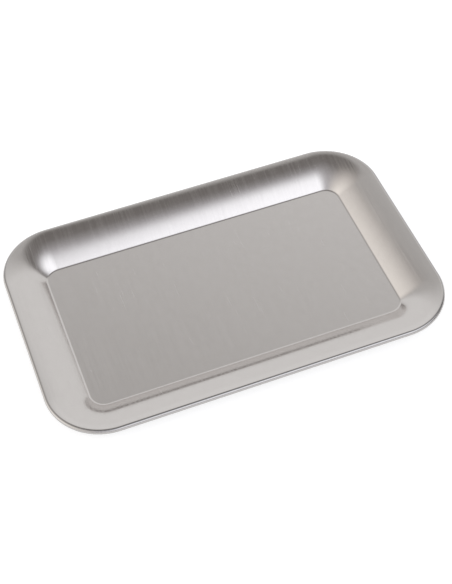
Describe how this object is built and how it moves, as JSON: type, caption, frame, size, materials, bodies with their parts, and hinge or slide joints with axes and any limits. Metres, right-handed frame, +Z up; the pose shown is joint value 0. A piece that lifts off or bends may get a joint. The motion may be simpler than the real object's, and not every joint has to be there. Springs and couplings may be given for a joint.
{
  "type": "instrument tray",
  "caption": "Shallow rectangular steel instrument tray with round corners, a flat floor, a wide flared wall and a rolled edge.",
  "frame": {"origin": "middle of the flat underside of the floor, on the surface that the tray stands on", "axes": "+X along the tray's length, +Y across it, +Z up out of the well"},
  "size_m": [0.284, 0.183, 0.014],
  "materials": {
    "steel": "satin, lightly brushed across the tray"
  },
  "bodies": {
    "root": {"tray": "steel"}
  },
  "joints": []
}
